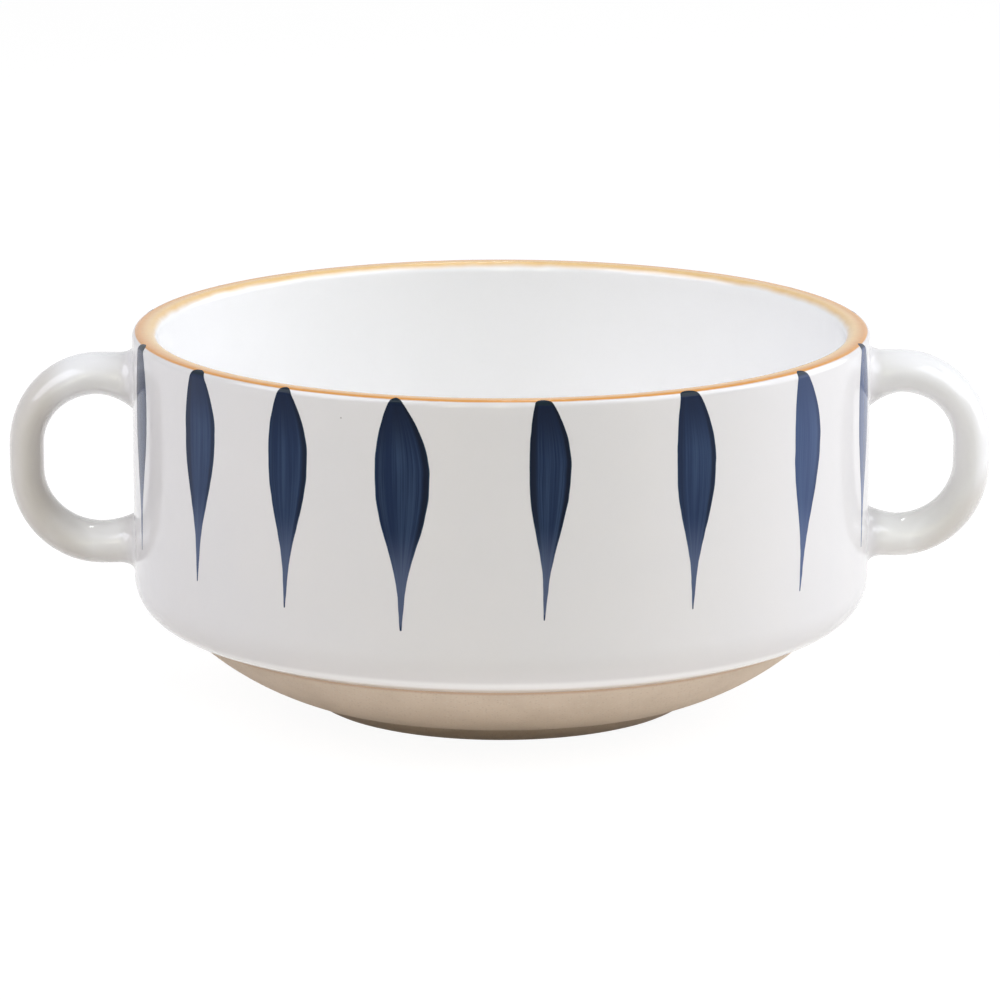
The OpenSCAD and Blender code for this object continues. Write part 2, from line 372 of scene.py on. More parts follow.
# Where a tone sets in and where it is full, in metres. Out from the wall: the handles' lighter
# tone, which is painted light, and the painted shade and light on them. Painted shade: on the left
# grip, along X, and under the lower arms, in height. Painted light on top of the lower arms: its
# two ends in height, and across.
LUG_TONE, LUG_TINT = (0.0005, 0.003), (0.001, 0.004)
PAINTED_SHADE_GRIP, PAINTED_SHADE_UNDER = (-0.0755, -0.0815), (0.0292, 0.0238)
PAINTED_LIGHT_LOW, PAINTED_LIGHT_HIGH, PAINTED_LIGHT_ACROSS = (0.0284, 0.0308), (0.036, 0.033), (0.08, 0.076)

# The lower arms turn up into the grips from this far across, with this slope
ELBOW_START, ELBOW_SLOPE = 0.072, 1.1

# The iron speck's radius: where it sets in and where it is full
SPECK_EDGE = (0.00016, 0.00008)

# How far below the rim's top the amber sets in and is full, outside and inside
AMBER_OUTSIDE, AMBER_INSIDE = (0.00036, 0.00017), (0.0012, 0.0001)

# The thin lower edge of the outer glaze, darkened partly as painted shade: above its lowest point,
# and out from the axis
EDGE_ABOVE, EDGE_OUT = (0.0026, 0.0002), (0.05, 0.0545)


def from_wall(finish, sizes, ends):
    """Rises outwards from the wall's face, between two distances from it."""
    return finish.radius.rise(sizes.radius + ends[0], sizes.radius + ends[1])


def below_rim(height, sizes, ends):
    """Rises towards the rim, between two distances below its top."""
    return height.rise(sizes.height - ends[0], sizes.height - ends[1])


def glaze_white(finish, look, sizes):
    """The milk-white glaze: slow drifts of warmth, a fine tooth, and rare iron specks.

    It also carries painted light and shade: a lighter copy of the glaze on the lining and on the
    handles, painted shade on the left grip and under the lower arms, and painted light on top of
    the lower arms.
    """
    drift = finish.cloud(DRIFT, 3.0)
    tooth = finish.cloud(TOOTH, 2.0)
    colour = finish.blend(drift.rise(0.35, 0.65), look.white, look.cool)
    within = sizes.radius - sizes.wall * 0.5
    # Painted light: inside the wall the glaze turns to its lighter copy, the lining.
    lined = finish.radius.rise(within + 0.0005, within - 0.0005)
    colour = finish.blend(lined, colour, look.lining)
    # Painted light: a lighter copy of the glaze on the handles.
    colour = finish.blend(from_wall(finish, sizes, LUG_TONE), colour, look.lug)

    on_lug = from_wall(finish, sizes, LUG_TINT)
    under = finish.z - (abs(finish.x) - ELBOW_START).most(0.0) * ELBOW_SLOPE
    # Painted shade: darkens the handle glaze on the left grip and under the lower arms.
    thin = finish.x.rise(*PAINTED_SHADE_GRIP).most(under.rise(*PAINTED_SHADE_UNDER) * 0.8)
    colour = finish.blend(thin * on_lug, colour, look.lug_painted_shade)
    # Painted light: lightens the handle glaze on top of the lower arms.
    pooled = under.rise(*PAINTED_LIGHT_LOW) * under.rise(*PAINTED_LIGHT_HIGH)
    pooled = pooled * abs(finish.x).rise(*PAINTED_LIGHT_ACROSS)
    colour = finish.blend(pooled * on_lug, colour, look.lug_painted_light)

    shade = (0.955 + tooth * 0.045 + finish.cloud(CLOUDING, 2.0) * 0.03).least(1.0)
    colour = finish.blend(shade, look.pits, colour)
    rare = finish.pick(finish.grains(SPECK_CELL, "Color")).rise(0.72, 0.8)
    speck = (0.03 - finish.grains(SPECK_CELL)).rise(0.0, 0.02) * rare
    speck = speck * finish.radius.rise(within, sizes.radius - 0.001)
    speck = speck.most(finish.away(IRON_SPECK).rise(*SPECK_EDGE))
    return finish.blend(speck * 0.8, colour, look.iron)


def glaze_surface(finish, look):
    """Gloss and the faint unevenness of a fired glaze."""
    roughness = look.gloss + finish.cloud(SHEEN, 2.0) * 0.05
    waves = finish.cloud(RIPPLE, 2.0, 0.45) + finish.cloud(FINE_RIPPLE, 1.0) * 0.12
    return roughness, finish.bump(waves, RIPPLE_DEPTH, 0.55)


def amber_share(finish, sizes):
    """How much amber there is at a place: crisp outside, brushed thin over the inner lip."""
    wobble = (finish.cloud(BAND_WOBBLE, 2.0) - 0.5) * 0.0006
    outside = below_rim(finish.z + wobble * 0.15, sizes, AMBER_OUTSIDE)
    inside = below_rim(finish.z + wobble * 1.1, sizes, AMBER_INSIDE)
    middle = sizes.radius - sizes.wall * 0.5
    side = finish.radius.rise(middle - 0.0004, middle + 0.0004)
    return inside + (outside - inside) * side


def fired_glaze(name, look, sizes):
    """White glaze, with the amber that the band leaves on it near the rim.

    The amber pales inward over the rim's top, partly as a thinner band and partly as painted
    reflection; the glaze's lower edge is darker, partly thin glaze and partly painted shade.
    """
    finish = Finish(name)
    colour = glaze_white(finish, look, sizes)
    # Paler amber inward over the rim's top: a thinner band, and painted reflection.
    inward = finish.radius.rise(sizes.radius - 0.0009, sizes.radius - sizes.wall + 0.0012)
    streak = finish.cloud(BAND_STREAK, 3.0)
    brushed = (inward * 0.8 + streak * 0.35 - 0.1).most(0.0).least(1.0)
    amber = finish.blend(brushed, look.amber, look.amber_thin_and_reflection)
    colour = finish.blend(amber_share(finish, sizes) * (0.97 + streak * 0.03), colour, amber)
    # Darker at the glaze's lower edge: thin glaze over the clay, and painted shade that dims its
    # reflection.
    low = finish.z.rise(GLAZE_LOW.z + EDGE_ABOVE[0], GLAZE_LOW.z + EDGE_ABOVE[1])
    edge = low * finish.radius.rise(*EDGE_OUT)
    colour = finish.blend(edge * 0.85, colour, look.thin_edge_and_shade)
    roughness, normal = glaze_surface(finish, look)
    return finish.fire(colour, roughness, normal, IOR=1.52, Coat_Weight=0.0)


def bare_stoneware(name, look, sizes):
    """Unglazed stoneware: grog of two tones, turning rings, a warm flash beside the glaze, and
    painted shade that darkens it towards the table over the foot.
    """
    finish = Finish(name)
    fine = finish.cloud(CLAY_FINE, 3.0, 0.6)
    colour = finish.blend(fine.rise(0.3, 0.7) * 0.35, look.clay, look.clay_pale)
    patches = finish.cloud(CLAY_PATCH, 3.0)
    colour = finish.blend(patches.rise(0.4, 0.75) * 0.1, colour, look.dark_clay_and_shade)
    for size, rarity, tone, amount in GROG:
        kind = finish.pick(finish.grains(size, "Color")).rise(rarity, rarity + 0.08)
        grain = (0.42 - finish.grains(size)).rise(0.0, 0.16) * kind
        colour = finish.blend(grain * amount, colour, getattr(look, tone))
    line = GLAZE_LOW.z + 0.0002
    flash = finish.z.rise(line - 0.0011, line - 0.0002) * finish.z.rise(line + 0.0022, line + 0.001)
    colour = finish.blend(flash * 0.7, colour, look.flash)
    # Painted shade: darker towards the table, over the foot.
    foot = finish.z.rise(sizes.foot_height + 0.0016, 0.0008)
    colour = finish.blend(foot * 0.42, colour, look.dark_clay_and_shade)
    turned = finish.stretched(0.0, finish.radius * 1.3, finish.z * 1.3)
    rings = finish.cloud(CLAY_RING, 2.0, place=turned)
    relief = finish.grains(CLAY_PIT) * 0.35 + fine * 0.5 + rings * 0.35
    return finish.fire(colour, look.clay_dull, finish.bump(relief, CLAY_RELIEF, 0.7), IOR=1.45)


def blue_pigment(name, look, sizes):
    """Brushed cobalt under the glaze: pooled edges, dragged streaks and a thinning tail.

    It follows the stroke's own map: across from 0 to 1, and down from 0 at the top to 1.
    """
    finish = Finish(name)
    across, down, _ = finish.split(finish.node("ShaderNodeUVMap", {"uv_map": "stroke"}))
    seed = finish.node("ShaderNodeAttribute", {"attribute_name": "hand"}, out="Fac")
    wash = finish.node("ShaderNodeAttribute", {"attribute_name": "wash"}, out="Fac")

    bristles = finish.stretched(across * 15.0 + seed * 17.0, down * 0.9, seed * 31.0)
    hairs = finish.cloud(1.0, 3.0, 0.7, bristles)
    sweep = finish.stretched(across * 3.2 + seed * 7.0, down * 1.4, seed * 11.0)
    broad = finish.cloud(1.0, 1.0, 0.5, sweep)
    worn = (hairs * 1.1 + broad * 0.5 - 0.42).rise(0.2, 0.62) * down.rise(0.02, 0.3)
    colour = finish.blend(worn, look.navy, look.navy_thin)
    head = down.rise(0.3, 0.02) * (0.55 + broad * 0.6)
    colour = finish.blend((head * 0.75).least(1.0), colour, look.navy_pool)
    tail = down.rise(0.56, 0.84)
    colour = finish.blend(tail * (0.5 + hairs * 0.3), colour, look.navy_tail)

    left = across.rise(0.23, 0.12) * (0.5 + seed * 0.5)
    right = across.rise(0.83, 0.92)
    pool = (left.most(right) * down.rise(0.78, 0.5) * (0.75 + broad * 0.5)).least(1.0)
    colour = finish.blend(pool * 0.92, colour, look.navy_pool)
    tip = down.rise(0.965, 0.99)
    colour = finish.blend(tip * 0.7, colour, look.navy)
    fringe = (abs(across - 0.5) * 2.0).rise(0.955, 1.0)
    colour = finish.blend(fringe * 0.45, colour, look.navy_fringe)
    # Per stroke paler blue: thinner pigment, and painted reflection on the strokes near the sides.
    colour = finish.blend(wash * 0.35, colour, look.navy_wash_and_reflection)
    band = sizes.height - sizes.band_outside
    crossing = finish.z.rise(band - 0.0006, band)
    colour = finish.blend(crossing * 0.8, colour, look.navy_over_amber)
    hole = (0.032 - finish.grains(PINHOLE_CELL)).rise(0.0, 0.014)
    hole = hole * finish.pick(finish.grains(PINHOLE_CELL, "Color")).rise(0.72, 0.76)
    colour = finish.blend(hole * 0.8, colour, look.pinhole)
    roughness, normal = glaze_surface(finish, look)
    return finish.fire(colour, roughness, normal, IOR=1.22)


# --- shaping ---------------------------------------------------------------------------------


class Section:
    """A section line drawn from point to point in the XZ plane, then spun round Z."""

    def __init__(self, radius, height):
        self.mesh = bmesh.new()
        self.tip = self.mesh.verts.new((radius, 0.0, height))

    def line(self, radius, height, steps=1):
        """Runs straight to a point."""
        step = (Vector((radius, 0.0, height)) - self.tip.co) / steps
        for _ in range(steps):
            self.tip = bmesh.ops.extrude_vert_indiv(self.mesh, verts=[self.tip])["verts"][0]
            self.tip.co += step
        return self

    def arc(self, centre, angle, steps):
        """Turns round a centre, anticlockwise in the section where the angle is positive."""
        swept = bmesh.ops.spin(
            self.mesh, geom=[self.tip], cent=(centre[0], 0.0, centre[1]), axis=(0.0, -1.0, 0.0),
            angle=angle, steps=steps)
        self.tip = next(g for g in swept["geom_last"] if isinstance(g, bmesh.types.BMVert))
        return self

    def spun(self):
        """Spins the line into a surface, with its poles merged and its faces outward."""
        mesh = self.mesh
        bmesh.ops.spin(
            mesh, geom=mesh.verts[:] + mesh.edges[:], cent=(0.0, 0.0, 0.0), axis=(0.0, 0.0, 1.0),
            angle=math.tau, steps=TURNS, use_merge=True)
        bmesh.ops.remove_doubles(mesh, verts=mesh.verts[:], dist=SAME_POINT)
        bmesh.ops.recalc_face_normals(mesh, faces=mesh.faces[:])
        return mesh


def bend_centre(sizes):
    """Centre of the bend between the upright wall and the glazed underside."""
    return Vector((sizes.radius - sizes.bend_radius, sizes.bend_height))


def glaze_edge(sizes):
    """Where the outer glaze stops, on its own face."""
    end = bend_centre(sizes) + sizes.bend_radius * Vector(
        (math.sin(sizes.under_slope), -math.cos(sizes.under_slope)))
    run = end.x - sizes.glaze_line
    return Vector((sizes.glaze_line, end.y - run * math.tan(sizes.under_slope)))


def belly_centre(sizes):
    """Centre of the belly's curve, which its inside shares."""
    into = Vector((-math.sin(sizes.under_slope), math.cos(sizes.under_slope)))
    start = glaze_edge(sizes) + sizes.coat * into
    return start + sizes.belly_radius * Vector(
        (-math.sin(sizes.belly_slope), math.cos(sizes.belly_slope)))


def lining_bend(sizes):
    """Centre of the bend inside, and the slope at which it runs into the floor."""
    belly = belly_centre(sizes)
    run = sizes.belly_radius - sizes.belly_wall - sizes.lining_bend
    x = sizes.radius - sizes.wall - sizes.lining_bend
    slope = math.asin((x - belly.x) / run)
    return Vector((x, belly.y - run * math.cos(slope))), slope


def add_outside(section, sizes, inset):
    """Runs up the outside, from the glaze's lower edge to the rim's outer rounding."""
    centre = bend_centre(sizes)
    start = centre + (sizes.bend_radius - inset) * Vector(
        (math.sin(sizes.under_slope), -math.cos(sizes.under_slope)))
    section.line(start.x, start.y, 5)
    section.arc(centre, math.pi / 2 - sizes.under_slope, 16)
    return section.line(sizes.radius - inset, sizes.height - sizes.outer_round, 12)


def band_turn(sizes):
    """How far round the rim's outer rounding the amber band starts."""
    return math.asin(1 - sizes.band_outside / sizes.outer_round)


def rim_round(sizes):
    """Centre of the rim's outer rounding."""
    return Vector((sizes.radius - sizes.outer_round, sizes.height - sizes.outer_round))


def add_rim(section, sizes, inset, start=0.0):
    """Goes over the rim, from its outer rounding to its inner one."""
    section.arc(rim_round(sizes), math.pi / 2 - start, 12)
    lip = sizes.radius - sizes.wall + sizes.inner_round
    section.line(lip, sizes.height - inset, 3)
    return section.arc((lip, sizes.height - sizes.inner_round), math.pi / 2, 12)


def add_inside(section, sizes, inset):
    """Runs down the inner wall, round its bend and over the floor to the middle."""
    centre, slope = lining_bend(sizes)
    belly = belly_centre(sizes)
    floor = belly.y - (sizes.belly_radius - sizes.belly_wall) - inset
    section.line(sizes.radius - sizes.wall + inset, centre.y, 12)
    section.arc(centre, slope - math.pi / 2, 16)
    section.arc(belly, -slope, 16)
    return section.line(0.0, floor, 6)


def shown(mesh, name, material, slot, *nodes):
    """Makes a finished piece of a mesh, with its finish, its body and what it stands for."""
    data = bpy.data.meshes.new(name)
    mesh.to_mesh(data)
    mesh.free()
    data.shade_smooth()
    data.set_sharp_from_angle(angle=CREASE)
    data.materials.append(material)
    piece = bpy.data.objects.new(name, data)
    bpy.context.scene.collection.objects.link(piece)
    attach(piece, BODY)
    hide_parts(*nodes)


def turn_upward(mesh):
    """Turns an open surface over if its faces look down, as inside the bowl they shouldn't."""
    if sum(f.normal.z * f.calc_area() for f in mesh.faces) < 0:
        bmesh.ops.reverse_faces(mesh, faces=mesh.faces[:])


def turn_outward(mesh):
    """Turns an open surface over if its faces look towards the bowl's axis."""
    if sum(f.normal.xy.dot(f.calc_center_median().xy) for f in mesh.faces) < 0:
        bmesh.ops.reverse_faces(mesh, faces=mesh.faces[:])


def coat_of(mesh, thickness):
    """Gives a spun surface its coat's thickness, behind its face."""
    bmesh.ops.solidify(mesh, geom=mesh.faces[:], thickness=thickness)


class BOWL_OT_throw_clay(bpy.types.Operator):
    """Throw the stoneware body with its foot ring and belly."""

    bl_idname = "bowl.throw_clay"
    bl_label = "Throw the clay body"

    def execute(self, context):
        sizes, look = context.scene.bowl_sizes, context.scene.bowl_colours
        belly = belly_centre(sizes)
        stand = belly.x + sizes.belly_radius * math.sin(sizes.belly_end) - sizes.foot_inset
        inner = stand - sizes.foot_contact
        section = Section(0.0, sizes.recess)
        section.line(inner - sizes.foot_inner_round, sizes.recess, 5)
        section.line(inner - sizes.foot_inner_round, sizes.foot_inner_round)
        section.arc((inner, sizes.foot_inner_round), math.pi / 2, 6)
        section.line(stand, 0.0, 2)
        rounded = math.acos(1 - sizes.foot_height / sizes.foot_round)
        section.arc((stand, sizes.foot_round), rounded, 8)
        section.line(belly.x + sizes.belly_radius * math.sin(sizes.belly_end),
                     belly.y - sizes.belly_radius * math.cos(sizes.belly_end), 3)
        section.arc(belly, sizes.belly_slope - sizes.belly_end, 22)
        add_outside(section, sizes, sizes.coat)
        add_rim(section, sizes, sizes.coat)
        add_inside(section, sizes, sizes.coat)
        shown(section.spun(), "bowl_clay", bare_stoneware("bare_stoneware", look, sizes),
              "bare_stoneware", "bowl_body")
        return {"FINISHED"}


# The outer glaze's lower edge: how close to its height a point belongs to it, how sharp it is,
# and, as shares of the coat, how far up it reaches and how much of it is rounded
AT_EDGE, EDGE_ANGLE, EDGE_REACH, EDGE_ROUND = 1e-6, math.radians(60), 0.6, 0.42


class BOWL_OT_glaze_outside(bpy.types.Operator):
    """Dip the outside in white glaze, down to the glaze line."""

    bl_idname = "bowl.glaze_outside"
    bl_label = "Glaze the outside"

    def execute(self, context):
        sizes, look = context.scene.bowl_sizes, context.scene.bowl_colours
        start = glaze_edge(sizes)
        section = Section(start.x, start.y)
        add_outside(section, sizes, 0.0).arc(rim_round(sizes), band_turn(sizes), 8)
        mesh = section.spun()
        turn_outward(mesh)
        slope = Vector((math.cos(sizes.under_slope), math.sin(sizes.under_slope)))
        for vert in mesh.verts:
            if vert.co.z < start.y + AT_EDGE:
                around = vert.co.xy.normalized()
                wander = noise.noise(Vector((*(around * 2.3), 4.7))) * sizes.coat_wander
                vert.co.xy += around * slope.x * wander
                vert.co.z += slope.y * wander
        coat_of(mesh, sizes.coat)
        lower = [e for e in mesh.edges
                 if all(v.co.z < start.y + sizes.coat * EDGE_REACH for v in e.verts)
                 and e.calc_face_angle(0.0) > EDGE_ANGLE]
        bmesh.ops.bevel(mesh, geom=lower, offset=sizes.coat * EDGE_ROUND, offset_type="OFFSET",
                        affect="EDGES", segments=3, profile=0.5, material=-1)
        shown(mesh, "outer_glaze_coat", fired_glaze("outer_glaze", look, sizes),
              "outer_glaze", "outer_glaze")
        return {"FINISHED"}


class BOWL_OT_glaze_inside(bpy.types.Operator):
    """Line the inside with white glaze."""

    bl_idname = "bowl.glaze_inside"
    bl_label = "Glaze the inside"

    def execute(self, context):
        sizes, look = context.scene.bowl_sizes, context.scene.bowl_colours
        section = Section(sizes.radius - sizes.wall, sizes.height - sizes.band_inside)
        mesh = add_inside(section, sizes, 0.0).spun()
        turn_upward(mesh)
        coat_of(mesh, sizes.coat)
        shown(mesh, "inner_glaze_coat", fired_glaze("inner_glaze", look, sizes),
              "inner_glaze", "inner_glaze")
        return {"FINISHED"}


class BOWL_OT_band_rim(bpy.types.Operator):
    """Band the rim with amber, over its top and a little way inside."""

    bl_idname = "bowl.band_rim"
    bl_label = "Band the rim"

    def execute(self, context):
        sizes, look = context.scene.bowl_sizes, context.scene.bowl_colours
        start = band_turn(sizes)
        edge = rim_round(sizes) + sizes.outer_round * Vector((math.cos(start), math.sin(start)))
        section = Section(edge.x, edge.y)
        add_rim(section, sizes, 0.0, start)
        section.line(sizes.radius - sizes.wall, sizes.height - sizes.band_inside, 2)
        mesh = section.spun()
        turn_upward(mesh)
        coat_of(mesh, sizes.coat)
        shown(mesh, "amber_rim", fired_glaze("amber_rim", look, sizes), "amber_rim", "rim_band")
        return {"FINISHED"}


# The handles' bar: points round it, sections along an arm and round a bend, and the two that
# lie inside the wall, so that the root has no gap
BAR_POINTS, ARM_SECTIONS, BEND_SECTIONS = 48, 16, 15
ROOT_INSIDE = (-0.0012, -0.00012)

# The lower arm's inner flare as a share of the upper one's, and how far the pulled bar sways
LOWER_FLARE, SWAY = 0.55, 0.00022


class BOWL_OT_pull_handles(bpy.types.Operator):
    """Pull both loop handles and lute their flared roots to the wall."""

    bl_idname = "bowl.pull_handles"
    bl_label = "Pull the handles"

    def stations(self, lug, side, wall_radius):
        """The bar's stations: middle, heading, thickness, how far it spreads sideways, outwards
        and inwards from that, and how closely it follows the wall."""
        right = max(0, side)
        grip = lug.grip_thick + side * lug.grip_uneven / 2
        upper_arm = lug.upper_arm - (1 - right) * lug.drop
        lower_arm = lug.lower_arm + right * lug.lift
        axis = lug.reach - right * lug.short - grip / 2
        shoulder = Vector((axis - lug.shoulder, upper_arm - lug.shoulder))
        elbow = Vector((axis - lug.elbow, lower_arm + lug.elbow))
        ends = []
        for height, heading, bend_x in ((upper_arm, math.pi / 2, shoulder.x),
                                        (lower_arm, -math.pi / 2, elbow.x)):
            clear = bend_x - wall_radius
            deep = lug.inner_flare * (1.0 if heading > 0 else LOWER_FLARE)
            along = [clear * (step / ARM_SECTIONS) ** 1.6 for step in range(ARM_SECTIONS)]
            for rise in [*ROOT_INSIDE, *along]:
                out = max(0.0, rise)
                part = min(1.0, out / lug.flare)
                round_off = 1 - math.sqrt(part * (2 - part))
                long_off = max(0.0, 1 - out / lug.inner_reach) ** 2
                spreads = (lug.flare * round_off, lug.outer_flare * round_off, deep * long_off)
                ends.append((Vector((wall_radius + rise, height)), heading, lug.arm_thick, spreads,
                             max(0.0, 1 - out / clear)))
        bar = []
        for centre, radius, start, flared in ((shoulder, lug.shoulder, math.pi / 2, 1.0),
                                              (elbow, lug.elbow, 0.0, LOWER_FLARE)):
            over = lug.inner_flare * flared * max(
                0.0, 1 - (centre.x - wall_radius) / lug.inner_reach) ** 2
            for step in range(BEND_SECTIONS):
                heading = start - math.pi / 2 * step / (BEND_SECTIONS - 1)
                middle = centre + radius * Vector((math.cos(heading), math.sin(heading)))
                blend = abs(heading) / (math.pi / 2)
                blend = blend * blend * (3 - 2 * blend)
                spreads = (0.0, 0.0, over * blend ** 3)
                bar.append((middle, heading, grip + (lug.arm_thick - grip) * blend, spreads, 0.0))
        half = len(ends) // 2
        return ends[:half] + bar + ends[half:][::-1]

    def execute(self, context):
        sizes, look = context.scene.bowl_sizes, context.scene.bowl_colours
        lug = context.scene.bowl_handles
        for side, name in ((1, "right"), (-1, "left")):
            mesh = bmesh.new()
            rings = []
            for middle, heading, thick, spreads, wrap in self.stations(lug, side, sizes.radius):
                spread, outer, inner = spreads
                sway = noise.noise(Vector((middle.x * 60, middle.y * 60, 3.0 * side))) * SWAY
                across = Vector((math.cos(heading), 0.0, math.sin(heading)))
                along = Vector((math.sin(heading), 0.0, -math.cos(heading)))
                breadth = lug.breadth / 2 + spread + sway
                half = (thick + outer + inner) / 2
                shift = across * (outer - inner) / 2
                place = Matrix.Translation(Vector((middle.x, sway, middle.y)) + shift) @ Matrix((
                    (across.x * half, 0.0, along.x, 0.0), (0.0, breadth, 0.0, 0.0),
                    (across.z * half, 0.0, along.z, 0.0), (0.0, 0.0, 0.0, 1.0)))
                ring = bmesh.ops.create_circle(mesh, cap_ends=False, segments=BAR_POINTS,
                                               radius=1.0, matrix=place)["verts"]
                for vert in ring:
                    deep = math.sqrt(middle.x ** 2 - vert.co.y ** 2) - middle.x
                    vert.co.x += deep * wrap
                members = set(ring)
                rings.append([e for e in mesh.edges if e.verts[0] in members])
            for first, second in zip(rings, rings[1:]):
                bmesh.ops.bridge_loops(mesh, edges=first + second)
            for end in (rings[0], rings[-1]):
                bmesh.ops.edgeloop_fill(mesh, edges=end)
            bmesh.ops.scale(mesh, vec=(side, 1.0, 1.0), verts=mesh.verts[:])
            bmesh.ops.recalc_face_normals(mesh, faces=mesh.faces[:])
            shown(mesh, name + "_lug", fired_glaze(name + "_lug", look, sizes), "glazed_handle",
                  name + "_handle", name + "_handle_slip")
        return {"FINISHED"}


# Where each stroke leans, how long and wide it is, how far its head and its tip lie to the left
# (in millimetres), how wide its head is, and how far down it is widest. Anticlockwise from +X.
HAND = (
    (0.1, 0.96, 0.98, 1.1, 1.2, 0.2, 0.3), (0.08, 0.97, 1.0, 0.8, 0.6, 0.34, 0.28),
    (0.02, 1.02, 0.94, 1.5, 1.0, 0.16, 0.32), (-0.06, 0.98, 1.02, 1.2, 0.4, 0.3, 0.33),
    (0.12, 0.95, 1.0, 0.7, 1.3, 0.12, 0.3), (0.05, 1.01, 0.9, 1.6, 1.5, 0.36, 0.29),
    (-0.1, 0.96, 1.03, 1.0, 0.2, 0.22, 0.34), (-0.1, 0.94, 0.97, 0.4, 0.9, 0.4, 0.3),
    (0.18, 0.94, 0.95, 0.3, 0.4, 0.5, 0.3), (0.17, 0.95, 1.05, 0.85, 1.15, 0.4, 0.28),
    (0.0, 0.98, 0.98, 0.77, 0.83, 0.2, 0.3), (-0.16, 1.03, 1.17, 1.25, 0.3, 0.1, 0.33),
    (-0.175, 0.97, 0.87, 1.2, 1.05, 0.42, 0.3), (-0.142, 0.97, 0.94, 1.6, 0.7, 0.5, 0.33),
    (-0.1, 0.99, 0.94, 2.0, 2.2, 0.28, 0.31), (-0.08, 0.93, 1.0, 1.2, 1.4, 0.26, 0.3),
)

# How thin the pigment lies in each stroke, in the same order; the largest values, on strokes near
# the bowl's sides, also stand for painted reflection
WASH_AND_REFLECTION = (0.3, 0.15, 0.0, 0.1, 0.05, 0.2, 0.0, 0.1, 0.4, 0.3, 0.08, 0.0, 0.0, 0.15, 0.85, 1.2)

# How wide a stroke still is below its widest place, as the brush lifts
TAPER = ((0.0, 1.0), (0.17, 0.95), (0.34, 0.75), (0.49, 0.5), (0.6, 0.32), (0.74, 0.16),
         (0.9, 0.075), (1.0, 0.03))

# Shares of a stroke's rows: those over the rim's rounding, and those that the map leaves at 0
HEAD_ROWS, UNMAPPED_ROWS = 0.16, 0.12

# A stroke's head: its width where it starts, the length over which it rounds off, how much of
# the head's share it starts from, and the power with which it swells to its widest place
HEAD_START, HEAD_ROUND, HEAD_SHARE, SWELL = 0.00002, 0.0007, 0.7, 0.78

# How far the brush's edge wanders
EDGE_WANDER = 0.00007


def follow(knots, at):
    """A smooth value between knots."""
    last = len(knots) - 1
    first = next((i for i in range(last) if at <= knots[i + 1][0]), last - 1)
    (x0, y0), (x1, y1) = knots[first], knots[first + 1]
    before, after = knots[max(first - 1, 0)], knots[min(first + 2, last)]
    span = x1 - x0
    part = min(1.0, max(0.0, (at - x0) / span))
    leave = (y1 - before[1]) / (x1 - before[0]) * span
    arrive = (after[1] - y0) / (after[0] - x0) * span
    rest = 1 - part
    return ((1 + 2 * part) * rest * rest * y0 + part * rest * rest * leave
            + part * part * (3 - 2 * part) * y1 - part * part * rest * arrive)


